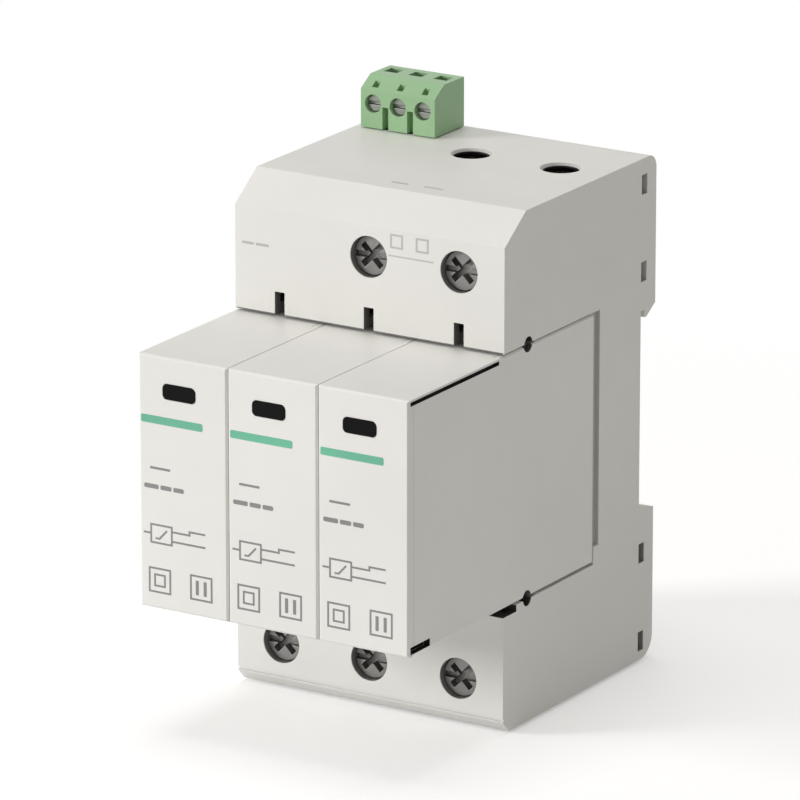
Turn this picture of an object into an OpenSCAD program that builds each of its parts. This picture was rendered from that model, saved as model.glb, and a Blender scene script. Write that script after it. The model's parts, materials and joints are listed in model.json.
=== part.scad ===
// Plug-in surge arrester with three poles for a 35 mm top-hat rail.
// X runs across the poles, Y to the rear, Z up. The rail seat is the plane y = 0 and the
// rail's centre line is z = 0. All sizes are in millimetres.

/* [Base] */
// Width of one pole
pole_pitch = 18; // [17.8:0.1:20]
// Height of the base above the rail's centre line
base_up = 45; // [44:0.5:50]
// Depth of the base below the rail's centre line
base_down = 46.5; // [45:0.5:50]
// Depth of the terminal shoulders in front of the rail seat
shoulder_depth = 46; // [44:0.5:52]
// How far the base reaches behind the rail seat
rear_depth = 5; // [4.8:0.1:6]
// Outer wall of the base
base_wall = 1.8; // [1.5:0.1:2]
// Depth of the slope between upper front and top
slope_depth = 7; // [4:0.5:10]
// Height of that slope
slope_height = 5; // [3:0.5:6]
// Chamfer at the foot of the front
foot_chamfer = 2; // [1:0.1:2.5]
// Radius of the upper corner at the rear
rear_radius = 2.5; // [1:0.5:3]
// Radius of the lower corner at the rear
foot_radius = 4; // [2:0.5:5]
// Distance of the bay's floor in front of the rail seat
bay_depth = 14; // [13.8:0.1:15]

/* [Rail] */
// Height of the rail
rail_height = 35; // [35:0.1:35.4]
// Gap for the edge of the rail behind the seat
rail_slot = 1.3; // [1.2:0.1:1.8]
// How far the fixed hook and the clip reach over the rail
hook_bite = 1.3; // [0.8:0.1:2]
// Width of the sliding clip
clip_width = 19; // [14:0.5:24]
// How far the clip's tab hangs below the base
clip_tab = 0.5; // [0:0.1:3]

/* [Cartridges] */
// Height of a cartridge
cart_height = 45; // [43:0.5:46]
// Height of the cartridge's top over the rail's centre line
cart_rise = 21; // [20:0.5:22]
// How far the cartridges stand out of the shoulders
cart_reach = 30.5; // [26:0.5:36]
// Gap between two cartridges
cart_gap = 0.15; // [0.1:0.05:0.6]
// Gap between cartridge and shoulder
seam_gap = 0.4; // [0.3:0.1:1]
// Gap between cartridge and the bay's floor
back_gap = 2; // [1:0.1:2.4]
// Wall of the case
cart_wall = 1.4; // [1.2:0.1:1.6]
// Front wall of the case
front_wall = 1.6; // [1.4:0.1:2]
// Thickness of the side lid
lid_thick = 1.2; // [1:0.1:1.4]
// Width of the status window
window_width = 6.6; // [4:0.1:8]
// Height of the status window
window_height = 2.8; // [2:0.1:2.8]
// Radius of the window's corners
window_corner = 0.9; // [0.3:0.1:0.9]
// Distance of the window's middle below the case's top
window_drop = 6; // [5.8:0.1:6.4]
// How far the window sits to the left of the pole's middle
window_shift = 0.7; // [0:0.1:1.2]
// Height of the grip pocket low at the front
grip_height = 1.3; // [0.8:0.1:1.6]
// Length of the grip pocket
grip_length = 6.2; // [4:0.1:8]
// Depth of the grip pocket
grip_depth = 6; // [3:0.5:6.5]
// Radius of the round holes in the side seams
seam_hole_radius = 1.4; // [1:0.1:1.4]
// Depth of these holes
seam_hole_depth = 7; // [3:0.5:7.5]
// Lip of the case above the groove of the lid
lid_lip = 0.4; // [0.3:0.05:0.5]
// How far the groove of the lid runs into the case
groove_depth = 0.8; // [0.4:0.1:1.2]
// Bevel at the front edges of the case
front_bevel = 0.35; // [0.2:0.05:0.6]

/* [Blades] */
// Width of a blade
blade_width = 8; // [6:0.1:8.4]
// Thickness of a blade
blade_thick = 1.2; // [0.8:0.1:1.5]
// How far a blade stands out of the case
blade_reach = 9.5; // [8.5:0.1:9.8]
// Distance of each blade from the nearer end of the case
blade_inset = 9; // [8.5:0.1:10]

/* [Varistor] */
// Edge of the varistor block
varistor_size = 34; // [28:0.5:34.5]
// Thickness of the varistor block
varistor_thick = 8; // [6:0.1:8.4]

/* [Terminals] */
// Head diameter of a terminal screw
screw_head = 7; // [5:0.1:7.4]
// Height of that head
screw_head_height = 3.4; // [2.6:0.1:4]
// Shank diameter of a terminal screw
screw_shank = 4.8; // [3.8:0.1:5]
// How far the head lies behind the front face
head_recess = 1.2; // [0.4:0.1:2.5]
// Gap around head and shank
screw_clear = 0.2; // [0.15:0.05:0.3]
// Distance of the upper screws below the base's top
screw_from_top = 10.5; // [10:0.1:11.5]
// Distance of the lower screws above the base's foot
screw_from_foot = 8.5; // [7.4:0.1:9.5]
// Width of a clamp cage
cage_width = 12; // [11.6:0.1:12.4]
// Length of a clamp cage along the wire
cage_length = 9; // [7:0.1:9.4]
// Side and rear wall of a clamp cage
cage_wall = 1.6; // [1.2:0.1:1.6]
// Threaded wall of a clamp cage
cage_nut = 3; // [2.4:0.1:4]
// Open space for the wire
wire_space = 6.4; // [5.8:0.1:6.8]
// Radius of a wire entry
wire_round = 3.2; // [2.8:0.1:3.3]
// Width of the funnel around a wire entry
wire_funnel = 0.5; // [0.3:0.1:0.8]
// Thickness of the wall around a wire entry
entry_rim = 0.9; // [0.8:0.1:1.4]
// Thickness of the contact strips
strip_thick = 1.5; // [1:0.1:1.6]
// Distance of the strip's clamping face in front of the rail seat
strip_depth = 15.5; // [15:0.1:16]

/* [Signal plug] */
// Distance of the outer pins from the ends of the plug's nose
pin_inset = 1.22; // [1.15:0.01:1.5]
// Height of the plug above the base
plug_height = 8.9; // [7.6:0.1:11]
// Depth of the plug
plug_depth = 9.8; // [9.8:0.1:11]
// Depth of the slope at the plug's upper front edge
plug_slope_depth = 3.2; // [1:0.1:3.6]
// Height of that slope
plug_slope_height = 2; // [1:0.1:2.4]
// How far the plug's screws lie behind its front
plug_sink = 0.7; // [0.2:0.1:0.9]
// Distance of the plug's pins in front of the rail seat
plug_line = 2.6; // [2.4:0.1:3]
// Length of the nose that enters the header
plug_nose = 7; // [6.5:0.1:7.2]
// Travel of the signal bar
signal_travel = 1.2; // [0.8:0.1:1.4]

/* [Hidden] */
$fn = 48;

// A small gap between pieces that sit in each other
fit_gap = 0.1;
// A gap beside pieces that slide
slide_gap = 0.3;

base_width = 3 * pole_pitch;
side_x = base_width / 2;
inner_x = side_x - base_wall;
front_y = -shoulder_depth;
rear_y = rear_depth;
bay_y = -bay_depth;
cart_front = front_y - cart_reach;
cart_back = bay_y - back_gap;
cart_top = cart_rise;
cart_foot = cart_rise - cart_height;
cart_half = (pole_pitch - cart_gap) / 2;
tower_low = cart_top + seam_gap;
floor_top = cart_foot - seam_gap;
upper_low = tower_low + base_wall;
upper_top = base_up - base_wall;
lower_top = floor_top - base_wall;
lower_foot = -base_down + base_wall;
slope_length = norm([slope_depth, slope_height]);
slope_z = base_up - slope_height - base_wall * (slope_length - slope_height) / slope_depth;
slope_run = base_wall * slope_length + slope_depth * (slope_height - base_wall);
slope_y = front_y + slope_run / slope_height;
rail_half = rail_height / 2;
hook_z = rail_half - hook_bite;
mouth = rail_half + 0.6;
cover_thick = 2;
cover_up_y = rear_y - cover_thick;
cover_low_y = -0.8;
hook_block = rail_half + 3;
lip_block = -rail_half - 2;
snap_z = [base_up - 4.7, tower_low + 3.2, floor_top - 2.4, -base_down + 3.4];
snap_left = [base_up - 14.6, snap_z[1], snap_z[2], snap_z[3]];
snap_half = 1.8;
snap_depth = 1.9;
snap_sink = 1;

chamber_half = cage_width / 2 + slide_gap;
signal_half = pole_pitch / 2 - base_wall;
upper_screw_z = base_up - screw_from_top;
lower_screw_z = -base_down + screw_from_foot;
head_front = front_y + head_recess;
head_back = head_front + screw_head_height;
well_radius = screw_head / 2 + screw_clear;
bore_radius = screw_shank / 2 + screw_clear;
boss_radius = well_radius + 1.5;
boss_end = head_back + 4;
strip_rear = -strip_depth;
strip_front = strip_rear - strip_thick;
cage_inner_front = strip_front - 2;
cage_inner_rear = strip_rear + wire_space;
cage_front = cage_inner_front - cage_nut;
cage_rear = cage_inner_rear + cage_wall;
cage_slot = cage_width / 2 - cage_wall;
strip_half = cage_slot - 0.4;
wire_y = (strip_rear + cage_inner_rear) / 2;
upper_jog = upper_low + 3;
lower_jog = lower_top - 1.6;
leg_rear = -cover_thick - 2 * fit_gap;
leg_front = leg_rear - strip_thick;
upper_blade_z = cart_top - blade_inset;
lower_blade_z = cart_foot + blade_inset;
fork_front = bay_y + base_wall + 0.4;
fork_leaf = 1;
fork_gap = 0.25;
link_low = upper_blade_z + 4;
link_high = min(upper_blade_z + 8, hook_block - 0.4);

bar_front = -8;
bar_rear = -5.5;
bar_half = 2.5;
arm_left = pole_x(0) - chamber_half + 0.2;
arm_right = pole_x(0) - strip_half - 0.4;
plunger_x = (arm_left + arm_right) / 2;
board_z = base_up - 10.6;
board_thick = 1.2;
switch_top = board_z - 0.2;
switch_low = switch_top - 6.6;
plunger_low = switch_low - 1.4;
plug_y = -plug_line;
plug_low = base_up + 0.2;
plug_top = plug_low + plug_height;
plug_front = plug_y - 5;
plug_rear = plug_front + plug_depth;
header_half = signal_half - 0.3;
nose_half = header_half - 0.6;
plug_pitch = nose_half - pin_inset;
plug_half = 1.5 * plug_pitch;
pin_round = 0.45;
socket_half = 0.85;
clamp_half = (plug_pitch - 1.18) / 2;
clamp_slot = clamp_half - 0.6;
tail_half = clamp_slot - 0.25;
switch_half = signal_half - 0.8;
plug_axis = plug_low + 4.4;
nose_low = plug_low - plug_nose;

varistor_rear = cart_back - 14.5;
varistor_front = varistor_rear - varistor_size;
varistor_low = (cart_top + cart_foot - varistor_size) / 2;
varistor_tab = 0.8;
arm_thick = 1.2;
pivot_y = cart_back - 8.5;
pivot_z = upper_blade_z - 5;
pin_radius = 1.2;
post_radius = 2.2;
arm_reach = [-21, -6];
arm_half = 2;
eye_radius = 3;
lug_y = pivot_y - 9;
lug_low = pivot_z + arm_reach[1] * 9 / 21 + arm_half * 1.04 + 0.4;
groove_low = cart_top - cart_wall + 0.3;
groove_high = cart_top - lid_lip;
groove_end = front_y - 1.5;
seam_hole_y = front_y + 8;
window_z = cart_top - window_drop;
lens_proud = 0.15;
flag_front = cart_front + front_wall + 0.75;
flag_thick = 1.2;
flag_top = window_z + window_height / 2 + 0.1;
spring_turns = 4;
spring_wire = 0.4;
spring_radius = post_radius + 0.5 + spring_wire;
spring_leg = upper_blade_z - blade_thick / 2 - pivot_z - fit_gap;

function pole_x(i) = (i - 1) * pole_pitch;
function varistor_left(i) = pole_x(i) - cart_half + cart_wall + 0.2;
function arm_low_x(i) = varistor_left(i) + varistor_thick + varistor_tab + fit_gap;
function arm_high_x(i) = arm_low_x(i) + arm_thick;

// Solid between two opposite corners
module block(low, high) {
  translate(low)
    cube(high - low);
}

// A drawing in Y and Z, drawn out along X
module along_x(x0, x1) {
  translate([x0, 0, 0])
    rotate([90, 0, 90])
      linear_extrude(x1 - x0)
        children();
}

// A drawing in X and Z, drawn out along Y
module along_y(y0, y1) {
  translate([0, y1, 0])
    rotate([90, 0, 0])
      linear_extrude(y1 - y0)
        children();
}

// Round bar along X
module rod_x(y, z, r, x0, x1) {
  translate([x0, y, z])
    rotate([0, 90, 0])
      cylinder(r = r, h = x1 - x0);
}

// Round bar along Y
module rod_y(x, z, r, y0, y1) {
  translate([x, y0, z])
    rotate([-90, 0, 0])
      cylinder(r = r, h = y1 - y0);
}

// Rectangle with round corners, about the origin
module rounded(w, h, r) {
  square([w - 2 * r, h], center = true);
  square([w, h - 2 * r], center = true);
  for (u = [-1, 1], v = [-1, 1])
    translate([u * (w / 2 - r), v * (h / 2 - r)])
      circle(r);
}

// What is cut away outside a round corner whose centre is the origin
module corner_cut(r) {
  difference() {
    square(r + 1);
    circle(r);
  }
}

// Space of the rail behind the seat
module rail_space() {
  polygon([
    [0, -rail_half - 0.2],
    [0, rail_half + 0.1],
    [rail_slot, rail_half + 0.1],
    [rail_slot, hook_z],
    [rail_slot + 0.7, hook_z],
    [rear_y, mouth],
    [rear_y + 1, mouth],
    [rear_y + 1, -mouth - 1.2],
    [rear_y, -mouth - 1.2]
  ]);
}

// Side view of the base
module base_outline() {
  difference() {
    union() {
      polygon([
        [front_y, tower_low],
        [front_y, base_up - slope_height],
        [front_y + slope_depth, base_up],
        [rear_y, base_up],
        [rear_y, tower_low]
      ]);
      translate([bay_y, floor_top - 1])
        square([rear_y - bay_y, tower_low - floor_top + 2]);
      polygon([
        [front_y, floor_top],
        [rear_y, floor_top],
        [rear_y, -base_down],
        [front_y + foot_chamfer, -base_down],
        [front_y, -base_down + foot_chamfer]
      ]);
    }
    rail_space();
    translate([rear_y - rear_radius, base_up - rear_radius])
      corner_cut(rear_radius);
    translate([rear_y - foot_radius, -base_down + foot_radius])
      mirror([0, 1])
        corner_cut(foot_radius);
  }
}

// Side view of the space that the rear cover fills
module cover_zone(gap) {
  polygon([
    [rear_y + 1, upper_top - gap],
    [cover_up_y + gap, upper_top - gap],
    [cover_up_y + gap, hook_block - gap],
    [-cover_thick - gap / 2 + gap, hook_block - gap],
    [-cover_thick - gap / 2 + gap, lip_block + gap],
    [cover_low_y + gap, lip_block + gap],
    [cover_low_y + gap, lower_foot + gap],
    [rear_y + 1, lower_foot + gap]
  ]);
}

// Hollow of the upper shoulder
module upper_chamber(x, half) {
  along_x(x - half, x + half)
    polygon([
      [front_y + base_wall, upper_low],
      [front_y + base_wall, slope_z],
      [slope_y, upper_top],
      [rear_y + 1, upper_top],
      [rear_y + 1, upper_low]
    ]);
}

// Hollow of the lower shoulder
module lower_chamber(x) {
  block(
    [x - chamber_half, front_y + base_wall, lower_foot],
    [x + chamber_half, 0, lower_top]
  );
}

// Stepped bore that holds a terminal screw
module screw_well(x, z) {
  rod_y(x, z, well_radius, front_y - 1, head_back + fit_gap);
  rod_y(x, z, bore_radius, head_back, boss_end + 1);
}

// Wire entry through the top (up = 1) or the foot (up = -1) of the base
module wire_entry(x, up) {
  edge = up > 0 ? base_up : -base_down;
  translate([x, wire_y, edge])
    mirror([0, 0, up > 0 ? 0 : 1]) {
      translate([0, 0, -base_wall - 1])
        cylinder(r = wire_round, h = base_wall + 2);
      translate([0, 0, -base_wall - 1])
        cylinder(r = wire_round + 1.2, h = base_wall + 1 - entry_rim);
      translate([0, 0, -wire_funnel])
        cylinder(r1 = wire_round, r2 = wire_round + 2 * wire_funnel, h = 2 * wire_funnel);
    }
}

module base_housing() {
  color([0.88, 0.88, 0.86])
    union() {
      difference() {
        along_x(-side_x, side_x)
          base_outline();
        along_x(-inner_x, inner_x)
          cover_zone(0);
        upper_chamber(pole_x(0), signal_half);
        for (i = [1:2])
          difference() {
            upper_chamber(pole_x(i), chamber_half);
            rod_y(pole_x(i), upper_screw_z, boss_radius, front_y, boss_end);
          }
        for (i = [1:2]) {
          screw_well(pole_x(i), upper_screw_z);
          wire_entry(pole_x(i), 1);
        }
        for (i = [0:2]) {
          difference() {
            lower_chamber(pole_x(i));
            rod_y(pole_x(i), lower_screw_z, boss_radius, front_y, boss_end);
          }
          screw_well(pole_x(i), lower_screw_z);
          wire_entry(pole_x(i), -1);
          back_hollow(pole_x(i));
        }
        block([arm_left - slide_gap, bar_front - slide_gap, -bar_half - slide_gap],
          [pole_x(2) + 2.3, 0, bar_half + signal_travel + slide_gap]);
        block([pole_x(0), leg_front - 0.5, link_low - 0.4], [pole_x(1), 0, link_high + 0.4]);
        block([pole_x(0) - header_half - fit_gap, plug_y - 4.3, upper_top - 1],
          [pole_x(0) + header_half + fit_gap, plug_y + 4.3, base_up + 1]);
        block([-clip_width / 2 - 0.4, rail_slot - 0.2, -base_down - 1],
          [clip_width / 2 + 0.4, rear_y + 1, lower_foot + 1]);
        side_cuts(snap_z);
        mirror([1, 0, 0])
          side_cuts(snap_left);
        block([-side_x - 1, front_y - 1, -base_down + foot_chamfer + 0.2],
          [side_x + 1, front_y + 0.4, -base_down + foot_chamfer + 0.7]);
      }
      for (s = [-1, 1])
        translate([pole_x(0) + s * (signal_half - 0.2), 0, 0])
          block([-0.5, plug_y - 7, board_z - 1.6], [0.5, plug_y + 4, board_z - fit_gap]);
      edge_rib();
      mirror([1, 0, 0])
        edge_rib();
    }
}

// Rib that closes the gap behind the cartridges at the right side, flush at its foot
module edge_rib() {
  block([inner_x, cart_back + slide_gap, floor_top - 0.5], [side_x - 0.8, bay_y + 0.5, tower_low + 0.5]);
  block([inner_x, cart_back + slide_gap, floor_top - 0.5], [side_x, bay_y + 0.5, cart_foot + 2.8]);
}

// Hollow behind the bay for the contacts of one pole, with the openings in the bay's floor
module back_hollow(x) {
  block([x - chamber_half, bay_y + base_wall, lower_top - 1], [x + chamber_half, 0, upper_low + 1]);
  for (z = [upper_blade_z, lower_blade_z])
    block(
      [x - blade_width / 2 - 0.7, bay_y - 1, z - blade_thick / 2 - 0.5],
      [x + blade_width / 2 + 0.7, bay_y + base_wall + 1, z + blade_thick / 2 + 0.5]
    );
  block([x - 1.3, bay_y - 1, -1.3], [x + 1.3, bay_y + base_wall + 1, 1.3 + signal_travel]);
  block([x - 1, front_y - 1, tower_low - 1], [x + 1, front_y + base_wall + 1, tower_low + 4.1]);
}

// Cuts in the right side wall of the base, with snap windows at the heights in snaps
module side_cuts(snaps) {
  for (z = snaps)
    block([inner_x - 1.8, 0, z - snap_half], [side_x + 1, snap_depth, z + snap_half]);
  for (k = [0, 1])
    block([inner_x - 1.8, -1.3, snaps[k] - snap_half - 0.2],
      [inner_x + 0.01, rear_y, snaps[k] + snap_half + 0.2]);
  for (z = [cart_top + seam_gap / 2, cart_foot - seam_gap / 2])
    rod_x(seam_hole_y, z, seam_hole_radius, side_x - seam_hole_depth, side_x + 1);
  block([side_x - 6, front_y - 1, floor_top - 1.2], [side_x + 1, front_y + 4.5, floor_top + 1]);
}

module rear_cover() {
  color([0.86, 0.86, 0.84])
    union() {
      difference() {
        along_x(-inner_x + fit_gap, inner_x - fit_gap)
          intersection() {
            base_outline();
            cover_zone(fit_gap);
          }
        block([-inner_x, -0.3, rail_half - 2], [inner_x, 0.5, rail_half + 0.1]);
        block([-inner_x, -0.3, -rail_half - 0.2], [inner_x, 0.5, -rail_half + 2]);
        clip_channel();
      }
      cover_snaps(snap_z);
      mirror([1, 0, 0])
        cover_snaps(snap_left);
      for (s = [-1, 1])
        block([s * pole_pitch / 2 - 1.2, bar_rear + slide_gap, -bar_half],
          [s * pole_pitch / 2 + 1.2, -1, bar_half + signal_travel]);
    }
}

// Snaps of the rear cover in the right side wall; the upper two sit on arms
module cover_snaps(snaps) {
  for (z = snaps)
    block([inner_x - 0.5, 0.1, z - snap_half + 0.3],
      [side_x - snap_sink, snap_depth - 0.4, z + snap_half - 0.3]);
  for (k = [0, 1])
    block([inner_x - 1.6, -1.1, snaps[k] - snap_half + fit_gap],
      [inner_x - fit_gap, rear_y - 0.5, snaps[k] + snap_half - fit_gap]);
}

// Channel of the sliding clip in the rear cover
module clip_channel() {
  half = clip_width / 2 + 0.3;
  block([-half, rail_slot - 0.1, lower_foot - 2], [half, rear_y + 1, hook_block - 30]);
  block([-half - 2.2, rail_slot - 0.1, lower_foot - 1], [half + 2.2, rail_slot + 1.6, -rail_half - 2.5]);
}

module rail_clip() {
  half = clip_width / 2;
  y0 = rail_slot + 0.2;
  y1 = rear_y - 0.3;
  color([0.25, 0.25, 0.26])
    difference() {
      union() {
        along_x(-half, half)
          polygon([
            [y0, -hook_z],
            [y0 + 0.8, -hook_z],
            [y1, -hook_z - 3],
            [y1, -base_down - clip_tab],
            [y0, -base_down - clip_tab]
          ]);
        block([-half - 2, y0, -base_down + 7.5], [half + 2, y0 + 1.1, -hook_z - 5.5]);
      }
      block([-3, y0 + 1.4, -base_down + 1.4], [3, y1 + 1, -base_down + 2.8]);
    }
}

// Strip with a fork contact, drawn for the upper side; its tail is clamped in the cage
module contact_view(screw_z, jog, blade_z) {
  polygon([
    [strip_front, jog - strip_thick],
    [leg_front, jog - strip_thick],
    [leg_front, blade_z - 5],
    [leg_rear, blade_z - 5],
    [leg_rear, jog],
    [strip_rear, jog],
    [strip_rear, screw_z + cage_length / 2 - 0.2],
    [strip_front, screw_z + cage_length / 2 - 0.2]
  ]);
  fork_view(blade_z);
}

// Two leaves that grip a blade
module fork_view(blade_z) {
  reach = blade_thick / 2 + fork_gap;
  low = blade_z - reach;
  high = blade_z + reach;
  polygon([
    [leg_front + 0.2, high + 1],
    [leg_front + 0.2, high + 1 + fork_leaf],
    [fork_front + 2.5, high + fork_leaf],
    [fork_front, high + 0.6 + fork_leaf],
    [fork_front, high + 0.6],
    [fork_front + 2.5, high]
  ]);
  polygon([
    [leg_front + 0.2, low - 1 - fork_leaf],
    [leg_front + 0.2, low - 1],
    [fork_front + 2.5, low],
    [fork_front, low - 0.6],
    [fork_front, low - 0.6 - fork_leaf],
    [fork_front + 2.5, low - fork_leaf]
  ]);
}

module upper_contact(i) {
  x = pole_x(i);
  color([0.72, 0.45, 0.3])
    along_x(x - strip_half, x + strip_half)
      contact_view(upper_screw_z, upper_jog, upper_blade_z);
}

// Contact of the first pole, with the link to the second one
module linked_contact() {
  x = pole_x(0);
  color([0.72, 0.45, 0.3])
    union() {
      along_x(x - strip_half, x + strip_half) {
        fork_view(upper_blade_z);
        translate([leg_front, upper_blade_z - 5])
          square([strip_thick, link_high - upper_blade_z + 5]);
      }
      block([x, leg_front, link_low], [pole_x(1) - strip_half - 0.05, leg_rear, link_high]);
    }
}

module lower_contact(i) {
  x = pole_x(i);
  color([0.72, 0.45, 0.3])
    along_x(x - strip_half, x + strip_half)
      mirror([0, 1])
        contact_view(-lower_screw_z, -lower_jog, -lower_blade_z);
}

module terminal_screw(x, z) {
  r = screw_head / 2;
  color([0.3, 0.3, 0.31])
    difference() {
      union() {
        rod_y(x, z, r, head_front, head_back);
        rod_y(x, z, screw_shank / 2, head_back - 0.5, strip_front - fit_gap);
      }
      for (a = [45, 135])
        translate([x, head_front, z])
          rotate([0, a, 0])
            cube([1.1, 3.2, r * 1.5], center = true);
      translate([x, head_front, z])
        cube([screw_head + 1, 1.8, 1], center = true);
    }
}

module clamp_cage(x, z) {
  half = cage_width / 2;
  color([0.75, 0.75, 0.77])
    difference() {
      block([x - half, cage_front, z - cage_length / 2], [x + half, cage_rear, z + cage_length / 2]);
      block([x - cage_slot, cage_inner_front, z - cage_length],
            [x + cage_slot, cage_inner_rear, z + cage_length]);
      rod_y(x, z, screw_shank / 2 + fit_gap, cage_front - 1, cage_inner_front + 1);
    }
}

module signal_header() {
  x = pole_x(0);
  base = board_z + board_thick + 0.05;
  color([0.16, 0.17, 0.16])
    union() {
      difference() {
        block([x - header_half, plug_y - 4.2, base], [x + header_half, plug_y + 4.2, base_up - 0.2]);
        block([x - nose_half - fit_gap, plug_y - 3.1, nose_low - 0.5],
          [x + nose_half + fit_gap, plug_y + 3.1, base_up + 1]);
      }
      for (k = [-1:1])
        translate([x + k * plug_pitch, plug_y, board_z - 0.7])
          cylinder(r = pin_round, h = plug_low - 2.4 - board_z, $fn = 24);
    }
}

module signal_board() {
  x = pole_x(0);
  color([0.1, 0.35, 0.2])
    difference() {
      block([x - header_half, plug_y - 7.6, board_z], [x + header_half, plug_y + 4.2, board_z + board_thick]);
      for (k = [-1:1])
        translate([x + k * plug_pitch, plug_y, board_z - 1])
          cylinder(r = pin_round + 0.15, h = board_thick + 2, $fn = 24);
    }
}

module microswitch() {
  x = pole_x(0);
  color([0.12, 0.12, 0.13])
    difference() {
      block([x - switch_half, bar_front - 1.6, switch_low], [x + switch_half, bar_rear + 1.7, switch_top]);
      block([plunger_x - 0.8, bar_front + 0.3, switch_low - 1],
            [plunger_x + 0.8, bar_rear - 0.3, switch_low + 3.4]);
    }
}

module switch_plunger() {
  color([0.7, 0.2, 0.15])
    block([plunger_x - 0.6, bar_front + 0.5, plunger_low],
          [plunger_x + 0.6, bar_rear - 0.5, switch_low + 1.6]);
}

module signal_bar() {
  color([0.2, 0.2, 0.22])
    union() {
      block([arm_left, bar_front, -bar_half], [pole_x(2) + 2, bar_rear, bar_half]);
      block([arm_left, bar_front, bar_half - 0.5], [arm_right, bar_rear, plunger_low - fit_gap]);
      for (i = [0:2])
        block([pole_x(i) - 1, bay_y + 0.2, -1], [pole_x(i) + 1, bar_front + 0.5, 1]);
    }
}

module plug_body() {
  x = pole_x(0);
  color([0.5, 0.72, 0.5])
    difference() {
      union() {
        along_x(x - plug_half, x + plug_half)
          polygon([
            [plug_front, plug_low],
            [plug_rear, plug_low],
            [plug_rear, plug_top],
            [plug_front + plug_slope_depth, plug_top],
            [plug_front, plug_top - plug_slope_height]
          ]);
        block([x - nose_half, plug_y - 2.9, nose_low], [x + nose_half, plug_y + 2.9, plug_low + 0.5]);
      }
      for (k = [-1:1]) {
        plug_way(x + k * plug_pitch);
      }
      for (k = [-0.5, 0.5])
        block([x + k * plug_pitch - 0.6, plug_front - 1, plug_low - 0.01],
          [x + k * plug_pitch + 0.6, plug_front + 1.6, plug_axis - 0.4]);
    }
}

// Hollow of one way of the plug
module plug_way(x) {
  rod_y(x, plug_axis, 1.65, plug_front - 1, plug_y - 3.3);
  rod_y(x, plug_axis, 1.15, plug_y - 3.5, plug_y - 2);
  block([x - clamp_half - 0.2, plug_y - 3, plug_axis - 2],
        [x + clamp_half + 0.2, plug_y + 4.25, plug_axis + 2]);
  block([x - clamp_slot, plug_y + 0.7, plug_axis], [x + clamp_slot, plug_y + 3.3, plug_top + 1]);
  block([x - 0.6, plug_front + 0.6, max(plug_axis + 2.05, plug_top - plug_slope_height - 0.4)],
    [x + 0.6, plug_front + 2, plug_top + 1]);
  block([x - socket_half - fit_gap, plug_y - socket_half - fit_gap, nose_low + 0.7],
    [x + socket_half + fit_gap, plug_y + socket_half + fit_gap, plug_low + 1.3]);
  block([x - tail_half - fit_gap, plug_y - 0.2, plug_low],
        [x + tail_half + fit_gap, plug_y + 0.8, plug_axis]);
  translate([x, plug_y, nose_low - 1])
    cylinder(r = pin_round + 0.15, h = 3, $fn = 24);
}

module plug_contacts() {
  color([0.75, 0.75, 0.76])
    for (k = [-1:1])
      translate([pole_x(0) + k * plug_pitch, plug_y, 0])
        difference() {
          union() {
            block([-socket_half, -socket_half, nose_low + 0.9], [socket_half, socket_half, plug_low + 1]);
            block([-tail_half, 0, plug_low], [tail_half, 0.6, plug_axis + 1.8]);
          }
          translate([0, 0, nose_low])
            cylinder(r = pin_round + 0.1, h = plug_low - 2.5 - nose_low, $fn = 24);
        }
}

module plug_screw(k) {
  x = pole_x(0) + k * plug_pitch;
  color([0.72, 0.72, 0.74])
    difference() {
      union() {
        rod_y(x, plug_axis, 1.5, plug_front + plug_sink, plug_y - 3.4);
        rod_y(x, plug_axis, 0.95, plug_y - 3.6, plug_y - fit_gap);
      }
      translate([x, plug_front + plug_sink, plug_axis])
        cube([3.4, 1.1, 0.6], center = true);
    }
}

module plug_clamp(k) {
  x = pole_x(0) + k * plug_pitch;
  color([0.75, 0.75, 0.76])
    difference() {
      block([x - clamp_half, plug_y - 1.9, plug_axis - 1.8], [x + clamp_half, plug_y + 4.1, plug_axis + 1.8]);
      block([x - clamp_slot, plug_y - 1.1, plug_axis - 3], [x + clamp_slot, plug_y + 3.4, plug_axis + 3]);
      rod_y(x, plug_axis, 1.05, plug_y - 3, plug_y);
    }
}

// Notches that a cartridge shows at its sides
module cartridge_notches(x) {
  for (z = [cart_top + seam_gap / 2, cart_foot - seam_gap / 2]) {
    rod_x(seam_hole_y, z, seam_hole_radius, x - cart_half - 1, x - cart_half + seam_hole_depth);
    rod_x(seam_hole_y, z, seam_hole_radius, x + cart_half - seam_hole_depth, x + cart_half + 1);
  }
  for (edge = [-cart_half - 1, cart_half - grip_depth])
    translate([x + edge, cart_front + 0.6, cart_foot + 0.4])
      cube([grip_depth + 1, grip_length, grip_height]);
}

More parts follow.
